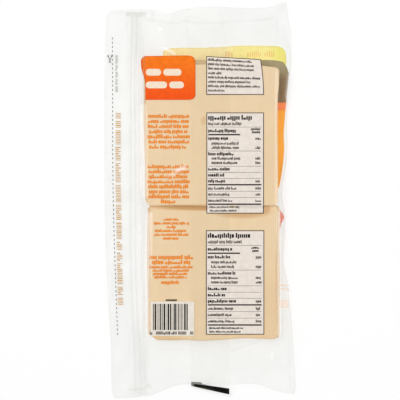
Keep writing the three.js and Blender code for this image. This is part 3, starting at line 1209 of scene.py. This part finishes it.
class CHEESE_PACK_OT_front_print(bpy.types.Operator):
    """Makes the colour fields of the front, which show through the pack round the slices"""

    bl_idname = "cheese_pack.front_print"
    bl_label = "Front Print"

    def execute(self, context):
        pack = context.scene.cheese_pack
        sides = (fields_left, fields_right)
        fields = [
            ("banner", banner_left, banner_right, fixed(90), banner_top, pack.banner_colour, 1),
            ("brown_field", *sides, fixed(SALMON_TOP), brown_top, pack.brown_colour, 1),
            ("salmon_field", *sides, fixed(ORANGE_TOP), fixed(SALMON_TOP), pack.salmon_colour, 1),
            ("orange_field", *sides, fixed(9), fixed(ORANGE_TOP), pack.orange_colour, 1),
            ("pink_leaf", fixed(40), leaf_right, fixed(-23.7), fixed(-6.0), pack.pink_colour, 0.8),
        ]
        for index, (low, high) in enumerate(PALE_STRIPES):
            name = f"pale_stripe_{index + 1}"
            edges = (fixed(30), fixed(63.4), fixed(low), fixed(high))
            fields.append((name, *edges, pack.pale_pink_colour, 0.45))
        # Painted light: the glow of the banner and the brown field.
        painted_glows = {"banner": 0.16, "brown_field": 0.06}
        turns = {
            "banner": ((0, 18, 28, pack.banner_middle), (0, 47, 58, pack.banner_end)),
            "brown_field": ((0, 6, 40, pack.olive_brown_colour), (1, 93, 84, pack.dark_brown_colour)),
        }
        for name, *edges, colour, alpha in fields:
            lift = BANNER_LIFT if name == "banner" else FRONT_LIFT
            piece = add_field("front_" + name, *edges, lower_film, lift)
            ink = ink_finish(
                name + "_ink", colour, alpha=alpha, glow=painted_glows.get(name, FRONT_PAINTED_GLOW),
                turns=turns.get(name, ()),
            )
            dress(piece, ink)
        self.add_banner_strokes()
        return {"FINISHED"}

    def add_banner_strokes(self):
        """Faint strokes on the banner, in three groups."""
        draw = random.Random(5)
        strokes = []
        foot = 102.8
        for start, end in BANNER_STROKES:
            at = start
            while at < end:
                width = draw.choice((0.8, 0.8, 1.4))
                strokes.append((at, foot, at + width, foot + draw.choice((3.7, 3.7, 2.6))))
                at += width + 0.6
        # The faint type's glow is painted light.
        faint = ink_finish("front_type_ink", srgb(244, 176, 104), alpha=0.24, glow=0.1)
        dress(add_bars("front_type", strokes, lower_film, FRONT_LIFT), faint)


def rounded_ends(line, low, high, low_radius, high_radius, inward):
    """A line that gives x at y, rounded inwards at its two ends."""

    def corner(distance, radius):
        if radius == 0:
            return 0.0
        inset = np.clip(1 - distance / radius, 0, 1)
        return radius * (1 - np.sqrt(1 - inset * inset))

    def rounded(y):
        return line(y) + inward * (corner(y - low, low_radius) + corner(high - y, high_radius))

    return rounded


class CHEESE_PACK_OT_label(bpy.types.Operator):
    """Makes the orange label of the back, with four pale bars"""

    bl_idname = "cheese_pack.label"
    bl_label = "Back Label"

    def execute(self, context):
        pack = context.scene.cheese_pack
        low, high = 71.2, 102.7
        fold = through([(71.5, -38.8), (84.0, -38.9), (87.0, -39.7), (95.0, -42.0), (103, -42.2)])
        left = rounded_ends(fold, low, high, low_radius=0, high_radius=3.2, inward=1)
        right = rounded_ends(fixed(-3.3), low, high, low_radius=3.8, high_radius=4.5, inward=-1)
        edges = (left, right, fixed(low), through([(-42.2, 102.3), (-3.3, 102.8)]))
        label = add_field("back_label", *edges, back_surface, LABEL_LIFT, pitch=0.6)
        dress(label, self.label_finish(pack, low, high))
        bar_height, bar_gap, bars_left = 4.8, 1.6, -38.4
        bars = []
        for foot, ends in ((88.4, (-27.6, -13.2)), (79.4, (-23.4, -11.4))):
            start = bars_left
            for end in ends:
                bars.append((start, foot, end, foot + bar_height))
                start = end + bar_gap
        piece = add_bars("label_bars", bars, back_surface, LABEL_BAR_LIFT, radius=2.3)
        dress(piece, ink_finish("label_bar_ink", srgb(255, 236, 212)))
        return {"FINISHED"}

    def label_finish(self, pack, low, high):
        """Ink that turns from one orange at the label's foot to another at its top."""
        finish = Finish("label_ink")
        up = finish.axes(finish.place())[1].step((low + 0.3) * MM, high * MM)
        uneven = finish.noise(320, detail=3).step(0.3, 0.7)
        plain = finish.blend(up, pack.label_foot_colour, pack.label_top_colour)
        worn = uneven * 0.2 + finish.attribute("rim") * 0.6
        return finish.set(
            Base_Color=finish.blend(worn, plain, toned(pack.label_foot_colour, 0.6)),
            Roughness=uneven * 0.1 + 0.3,
            IOR=INK_IOR,
            # The label's glow is painted light.
            Emission_Color=pack.label_top_colour,
            Emission_Strength=0.05,
            Normal=finish.bump(uneven, 0.1, 0.0001),
        ).material


class CHEESE_PACK_OT_paragraphs(bpy.types.Operator):
    """Makes the orange paragraphs of the back, from lines of small strokes"""

    bl_idname = "cheese_pack.paragraphs"
    bl_label = "Paragraphs"

    def execute(self, context):
        pack = context.scene.cheese_pack
        draw = random.Random(9)
        rows = []
        for top_row, pitch in ((59.5, 3.63), (23.7, 3.55)):
            for row in range(7):
                rows.append((top_row - row * pitch, 15.2 - draw.uniform(0, 1.4), 2.0))
        bars = centred_lines(draw, -22.1, rows + [(-1.2, 5.6, 2.0)])
        address = [
            (-13.7, 5.6, 1.5), (-16.4, 12.6, 1.5), (-19.1, 3.2, 1.5), (-21.8, 11.7, 1.5),
            (-24.5, 12.4, 1.5), (-27.2, 6.0, 1.5),
        ]
        promise = [
            (-40.7, 15.9, 2.2), (-44.2, 13.9, 2.2), (-47.6, 15.9, 1.5), (-50.0, 13.6, 1.5),
            (-52.3, 13.0, 1.5), (-54.7, 12.2, 1.5), (-58.5, 7.2, 1.8),
        ]
        bars += centred_lines(draw, -20.3, address + promise)
        # The text's glow is painted light.
        ink = ink_finish("text_orange", pack.text_colour, glow=0.05)
        dress(add_bars("back_paragraphs", bars, back_surface, PRINT_LIFT), ink)
        return {"FINISHED"}


# The rows of a panel: how far down in its first size, what it holds, and how far it is set in.
TABLE_ROWS = (
    (3.7, "title", 0), (7.9, "small", 0), (10.3, "rule", 0), (13.1, "bold", 0),
    (15.7, "half_rule", 0), (18.5, "bold_figure", 0), (21.9, "fine", 2.4),
    (25.0, "fine_figure", 2.4), (27.3, "rule", 0), (29.6, "bold", 0),
    (32.6, "fine_figure", 2.4), (35.7, "fine_figure", 2.4), (38.1, "rule", 0),
    (40.3, "bold", 0), (42.5, "rule", 0), (44.6, "bold", 0), (46.7, "rule", 0),
    (48.8, "bold_figure", 0), (51.2, "thick_rule", 0), (53.8, "fine_figure", 0),
    (55.8, "rule", 0), (58.1, "fine_figure", 0), (60.3, "rule", 0),
    (62.5, "fine_figure", 0), (65.0, "thick_rule", 0), (67.2, "note", 0.8),
    (69.7, "note", 1.2),
)
TABLE_HEIGHT = 71.6
PANEL_FRAME = 0.5


class CHEESE_PACK_OT_panels(bpy.types.Operator):
    """Makes the three white panels of the back, with their frames, rules and fine strokes"""

    bl_idname = "cheese_pack.panels"
    bl_label = "Panels"

    def execute(self, context):
        pack = context.scene.cheese_pack
        draw = random.Random(13)
        inks = (
            ink_finish("panel_white", pack.panel_colour, shade=0.97, alpha=0.88),
            ink_finish("panel_ink", pack.ink_colour, shade=0.8),
            ink_finish("panel_fine_ink", pack.fine_ink_colour, shade=0.85),
        )
        tables = (
            ("nutrition_upper", (4.6, -9.4, 45.3, 62.2)),
            ("nutrition_lower", (4.3, -95.4, 45.6, -21.4)),
        )
        for name, box in tables:
            left, bottom, right, top = box
            scale = (top - bottom) / TABLE_HEIGHT
            bold = frame_bars(box, PANEL_FRAME)
            fine = []
            for down, kind, inset in TABLE_ROWS:
                ends = (left + 1.2 + inset, right - 1.8, top - down * scale)
                add_row(draw, kind, ends, bold, fine)
            self.add_panel(name, box, bold, fine, inks)
        box = (4.5, 74.8, 45.3, 102.2)
        left, bottom, right, top = box
        bold = frame_bars(box, PANEL_FRAME)
        fine = []
        row_lengths = (0.86, 0.9, 0.88, 0.26, 0.97, 0.8, 0.97, 0.32)
        heavy_rows = (0, 4)
        for row, share in enumerate(row_lengths):
            end = mix(left + 1.2, right - 1.0, share)
            weight = 0.5 if row in heavy_rows else 0.36
            fine += type_line(draw, left + 1.2, end, top - 3.2 - row * 3.12, 1.4, weight)

        def warp(x, y):
            """The panel's top right is drawn in and down, as the film there is."""
            across = (x - left) / (right - left)
            up = (y - bottom) / (top - bottom)
            return x - 2.2 * up**2 * across, y - 2.2 * across * up

        self.add_panel("ingredients", box, bold, fine, inks, warp)
        return {"FINISHED"}

    def add_panel(self, name, box, bold, fine, inks, warp=None):
        white, dark, grey = inks
        x, y = rounded_grid(box, 0.4, 0.8)
        if warp:
            x, y = warp(x, y)
        ground = add_sheet(name + "_panel", *on_surface(x, y, back_surface, PRINT_LIFT))
        dress(ground, white)
        for ending, bars, ink in (("_print", bold, dark), ("_fine_print", fine, grey)):
            piece = add_bars(name + ending, bars, back_surface, OVERPRINT_LIFT, warp)
            dress(piece, ink)


def frame_bars(box, width):
    """The four sides of a frame."""
    left, bottom, right, top = box
    return [
        (left, bottom, right, bottom + width),
        (left, top - width, right, top),
        (left, bottom + width, left + width, top - width),
        (right - width, bottom + width, right, top - width),
    ]


def add_row(draw, kind, ends, bold, fine):
    """Adds one row of a table: a rule, or strokes, with a short group at the right for a figure."""
    left, right, level = ends
    half_rules = {"rule": 0.1, "thick_rule": 0.48, "half_rule": 0.48}
    if kind in half_rules:
        half = half_rules[kind]
        end = mix(left, right, 0.6) if kind == "half_rule" else right
        bold.append((left, level - half, end, level + half))
    if kind == "half_rule":
        bold += type_line(draw, right - 7.4, right, level + 3.2, 1.3, 0.5)
        bold += type_line(draw, right - 6.6, right - 0.4, level + 1.0, 1.3, 0.5)
    if kind == "title":
        bold += type_line(draw, left, left + 33, level - 1.4, 2.5, 0.42)
    if kind == "small":
        fine += type_line(draw, left, left + 24, level - 1.0, 1.8, 0.3)
    if kind == "note":
        bold += type_line(draw, left, left + draw.uniform(20, 25), level - 0.5, 1.05, 0.5)
    if kind.startswith("bold"):
        bold += type_line(draw, left, left + draw.uniform(12, 22), level - 0.8, 1.7, 0.5)
    if kind.startswith("fine"):
        fine += type_line(draw, left, left + draw.uniform(14, 22), level - 0.8, 1.5, 0.4)
    if kind.endswith("figure"):
        fine += type_line(draw, right - 4.2, right, level - 0.8, 1.5, 0.4)


# The width of the thinnest bar.
BAR_MODULE = 0.28


class CHEESE_PACK_OT_barcode(bpy.types.Operator):
    """Makes the row of bars on its pale ground"""

    bl_idname = "cheese_pack.barcode"
    bl_label = "Bar Code"

    def execute(self, context):
        pack = context.scene.cheese_pack
        draw = random.Random(17)
        x, y = rounded_grid((-35.0, -96.3, -4.2, -72.0), 0.5, 0.8)
        ground_ink = ink_finish("barcode_ground", pack.barcode_colour, shade=0.97, alpha=0.88)
        ground = add_sheet("barcode_ground", *on_surface(x, y, back_surface, PRINT_LIFT))
        dress(ground, ground_ink)
        bars = []
        at, last = -33.4, -8.4
        low, high = -92.2, -73.6
        while at < last:
            width = draw.choice((1, 1, 1, 2, 2, 3, 4)) * BAR_MODULE
            bars.append((at, low, at + width, high))
            at += width + draw.choice((1, 1, 2, 2, 3)) * BAR_MODULE
        for start, end in ((-35.6, -32.8), (-31.2, -20.8), (-20.3, -9.0), (-7.0, -4.2)):
            bars += type_line(draw, start, end, -95.4, 2.2, 0.24, capitals=True)
        bars += type_line(draw, -24.2, -15.8, -71.6, 1.2, 0.4, capitals=True)
        dark = ink_finish("barcode_ink", srgb(10, 7, 6), shade=0.8)
        dress(add_bars("barcode_bars", bars, back_surface, OVERPRINT_LIFT), dark)
        return {"FINISHED"}


class CHEESE_PACK_OT_flange_print(bpy.types.Operator):
    """Makes the dashed tear line, its cutting mark and the lines of print along the flange"""

    bl_idname = "cheese_pack.flange_print"
    bl_label = "Flange Print"

    def execute(self, context):
        draw = random.Random(21)
        tear = through([(-96, -58.9), (0, -62.0), (117, -62.6)])
        dash_length, dash_half_width, dash_pitch = 1.5, 0.28, 3.06
        dashes = []
        at = 116.4
        while at > -95.5:
            x = float(tear(at))
            dashes.append((x - dash_half_width, at - dash_length, x + dash_half_width, at))
            at -= dash_pitch
        ink = ink_finish("tear_line_ink", srgb(128, 125, 120), shade=0.85)
        dress(add_bars("tear_line", dashes, back_surface, PRINT_LIFT), ink)
        self.add_cutting_mark()
        strokes = type_line(draw, 77.4, 104.6, 0, 1.7, 0.2, capitals=True)
        small = [upright(bar, -60.5, 0) for bar in strokes]
        ink = ink_finish("flange_small_ink", srgb(150, 148, 142), shade=0.9, alpha=0.7)
        dress(add_bars("flange_small_print", small, back_surface, PRINT_LIFT), ink)
        strokes = type_line(draw, -74.7, 62.9, 0, 3.8, 0.15, capitals=True)
        large = [upright(bar, -60.4, 0.0203) for bar in strokes]
        ink = ink_finish("flange_text_ink", srgb(214, 164, 88), shade=0.95, alpha=0.85)
        dress(add_bars("flange_text", large, back_surface, PRINT_LIFT), ink)
        return {"FINISHED"}

    def add_cutting_mark(self):
        """A small pair of open blades with round handles, which crosses the tear line."""
        pivot_x, pivot_y = -64.2, 101.0
        half_width = 0.2
        handle_radii = (0.4, 0.65)
        handle_points = 12
        turns = [index * math.tau / handle_points for index in range(handle_points)]
        points = []
        faces = []
        for handle, tip in (((-1.5, 2.2), (0.5, -2.8)), ((1.2, 2.3), (-0.9, -2.6))):
            x0, y0 = pivot_x + handle[0], pivot_y + handle[1]
            x1, y1 = pivot_x + tip[0], pivot_y + tip[1]
            run = math.hypot(x1 - x0, y1 - y0)
            aside_x, aside_y = half_width * (y1 - y0) / run, half_width * (x0 - x1) / run
            faces.append(tuple(range(len(points), len(points) + 4)))
            points += [
                (x0 - aside_x, y0 - aside_y), (x0 + aside_x, y0 + aside_y),
                (x1 + aside_x, y1 + aside_y), (x1 - aside_x, y1 - aside_y),
            ]
            start = len(points)
            for radius in handle_radii:
                for turn in turns:
                    points.append((x0 + radius * math.cos(turn), y0 + radius * math.sin(turn)))
            for index in range(handle_points):
                inner = start + index
                inner_after = start + (index + 1) % handle_points
                faces.append((inner, inner + handle_points, inner_after + handle_points, inner_after))
        x, y = np.array(points).T
        placed = np.stack(on_surface(x, y, back_surface, CUTTING_MARK_LIFT), axis=-1)
        ink = ink_finish("cutting_mark_ink", srgb(70, 69, 66), shade=0.8)
        dress(add_mesh("cutting_mark", placed, faces, smooth_faces=False), ink)


def upright(bar, line, lean):
    """A bar of a line of type, turned to run along the flange, which leans away at its foot."""
    left, bottom, right, top = bar
    shift = lean * max(0.0, 10 - left)
    return (line + shift + bottom, left, line + shift + top, right)


class CHEESE_PACK_OT_stage(bpy.types.Operator):
    """Makes the pale floor, the soft lights and the camera"""

    bl_idname = "cheese_pack.stage"
    bl_label = "Stage"

    def execute(self, context):
        pack = context.scene.cheese_pack
        half = 8000
        corners = [(-half, -half, 0), (half, -half, 0), (half, half, 0), (-half, half, 0)]
        floor = add_mesh("floor", corners, [(0, 1, 2, 3)])
        finish = Finish("floor")
        cloud = finish.noise(3, detail=2)
        white = pack.floor_colour
        finish.set(
            Base_Color=finish.blend(cloud, toned(white, 0.99), white),
            Roughness=cloud * 0.1 + 0.7,
            Emission_Color=white,
            Emission_Strength=pack.floor_glow,
        )
        floor.data.materials.append(finish.material)
        self.add_light("key_light", place=(-0.6, 0.45, 1.5), size=1.2, power=pack.key_power)
        self.add_light("fill_light", place=(0.75, -0.25, 1.4), size=1.1, power=pack.fill_power)
        world = bpy.data.worlds.new("studio")
        world.use_nodes = True
        background = world.node_tree.nodes["Background"]
        background.inputs["Color"].default_value = (1, 1, 1, 1)
        background.inputs["Strength"].default_value = pack.surround
        bpy.context.scene.world = world
        bpy.context.scene.view_settings.view_transform = "Standard"
        self.add_camera()
        return {"FINISHED"}

    def add_light(self, name, place, size, power):
        lamp = bpy.data.lights.new(name, "AREA")
        lamp.shape = "SQUARE"
        lamp.size = size
        lamp.energy = power
        light = bpy.data.objects.new(name, lamp)
        light.location = place
        aim = -light.location
        light.rotation_euler = aim.to_track_quat("-Z", "Y").to_euler()
        bpy.context.scene.collection.objects.link(light)

    def add_camera(self):
        lens = bpy.data.cameras.new("camera")
        lens.lens = CAMERA_LENS
        lens.sensor_width = SENSOR_WIDTH
        camera = bpy.data.objects.new("camera", lens)
        view_width = PHOTO_PIXELS * MM_PER_PIXEL
        distance = view_width * CAMERA_LENS / SENSOR_WIDTH
        camera.location = (0, CAMERA_OFFSET * MM, (FOCUS_HEIGHT + distance) * MM)
        bpy.context.scene.collection.objects.link(camera)
        bpy.context.scene.camera = camera


def colour_property(name, description, default):
    return FloatVectorProperty(
        name=name, description=description, default=default, subtype="COLOR", min=0, max=1
    )


def share_property(name, description, default):
    return FloatProperty(
        name=name, description=description, default=default, subtype="FACTOR", min=0, max=1
    )


def light_property(name, description, default):
    return FloatProperty(name=name, description=description, default=default, unit="POWER")


class CheesePackSettings(bpy.types.PropertyGroup):
    """Sizes and colours of the pack"""

    slice_thickness: FloatProperty(
        name="Slice Thickness", description="Thickness of one slice", default=0.0019,
        unit="LENGTH",
    )
    film_opacity: share_property("Film Opacity", "How much the clear film hides", 0.056)
    strip_opacity: share_property("Strip Opacity", "How much the reseal strip hides", 0.004)
    film_colour: colour_property("Film", "Colour of the film's haze", (0.42, 0.46, 0.3))
    seam_colour: colour_property("Seam", "Colour of the seam flap's haze", (0.6, 0.62, 0.42))
    strip_colour: colour_property("Strip", "Colour of the reseal strip", (0.7, 0.7, 0.66))
    cheese_colour: colour_property("Cheese", "Colour of the cheese", srgb(250, 220, 178))
    # Painted shade on the steep sides of the slices.
    shaded_side_colour: colour_property("Cut Side", "Cut sides of the slices", srgb(226, 188, 132))
    # Darker places of the cheese: partly stain and partly painted shade.
    stain_and_shade_colour: colour_property("Stain", "Darker places of the cheese", srgb(208, 146, 60))
    label_top_colour: colour_property("Label Top", "Top of the label", srgb(252, 127, 27))
    label_foot_colour: colour_property("Label Foot", "Foot of the label", srgb(249, 86, 23))
    text_colour: colour_property("Text", "Small type in orange", srgb(244, 142, 38))
    panel_colour: colour_property("Panel", "Ground of the panels", srgb(250, 240, 230))
    ink_colour: colour_property("Ink", "Dark ink of the panels", srgb(30, 20, 15))
    fine_ink_colour: colour_property("Fine Ink", "Fine type of the panels", srgb(72, 60, 52))
    barcode_colour: colour_property("Bar Code", "Ground of the bars", srgb(250, 242, 230))
    banner_colour: colour_property("Banner", "Left part of the banner", srgb(247, 232, 172))
    banner_middle: colour_property("Banner Middle", "Middle of the banner", srgb(248, 236, 154))
    banner_end: colour_property("Banner End", "Right end of the banner", srgb(240, 230, 126))
    brown_colour: colour_property("Brown", "Left part of the brown field", srgb(232, 212, 168))
    olive_brown_colour: colour_property("Olive Brown", "Its upper right", srgb(170, 157, 123))
    dark_brown_colour: colour_property("Dark Brown", "Its right side", srgb(163, 138, 107))
    salmon_colour: colour_property("Salmon", "Salmon field of the front", srgb(255, 150, 96))
    orange_colour: colour_property("Orange", "Orange field of the front", srgb(255, 184, 72))
    pink_colour: colour_property("Pink", "Pink shape of the front", srgb(240, 132, 106))
    pale_pink_colour: colour_property("Pale Pink", "Pale stripes of the front", srgb(250, 224, 204))
    floor_colour: colour_property("Floor", "The pale floor", (0.4, 0.4, 0.4))
    floor_glow: FloatProperty(
        name="Floor Glow", description="Light of the floor itself", default=1.53, min=0,
    )
    key_power: light_property("Key Light", "Power of the main light", 11.8)
    fill_power: light_property("Fill Light", "Power of the second light", 6.5)
    surround: FloatProperty(
        name="Surround", description="Strength of the light from all round", default=0.42, min=0,
    )


OPERATORS = (
    CHEESE_PACK_OT_stage,
    CHEESE_PACK_OT_slices,
    CHEESE_PACK_OT_films,
    CHEESE_PACK_OT_strip,
    CHEESE_PACK_OT_flap,
    CHEESE_PACK_OT_front_print,
    CHEESE_PACK_OT_label,
    CHEESE_PACK_OT_paragraphs,
    CHEESE_PACK_OT_panels,
    CHEESE_PACK_OT_barcode,
    CHEESE_PACK_OT_flange_print,
)


class CHEESE_PACK_PT_sidebar(bpy.types.Panel):
    """Lists the operators that make the pack"""

    bl_idname = "CHEESE_PACK_PT_sidebar"
    bl_label = "Cheese Pack"
    bl_space_type = "VIEW_3D"
    bl_region_type = "UI"
    bl_category = "Cheese Pack"

    def draw(self, context):
        for operator in OPERATORS:
            self.layout.operator(operator.bl_idname)
        for name in CheesePackSettings.__annotations__:
            self.layout.prop(context.scene.cheese_pack, name)


CLASSES = (CheesePackSettings, *OPERATORS, CHEESE_PACK_PT_sidebar)


def register():
    for cls in CLASSES:
        bpy.utils.register_class(cls)
    bpy.types.Scene.cheese_pack = PointerProperty(type=CheesePackSettings)


def unregister():
    del bpy.types.Scene.cheese_pack
    for cls in reversed(CLASSES):
        bpy.utils.unregister_class(cls)


def main():
    register()
    for operator in OPERATORS:
        group, name = operator.bl_idname.split(".")
        getattr(getattr(bpy.ops, group), name)()


if __name__ == "__main__":
    main()
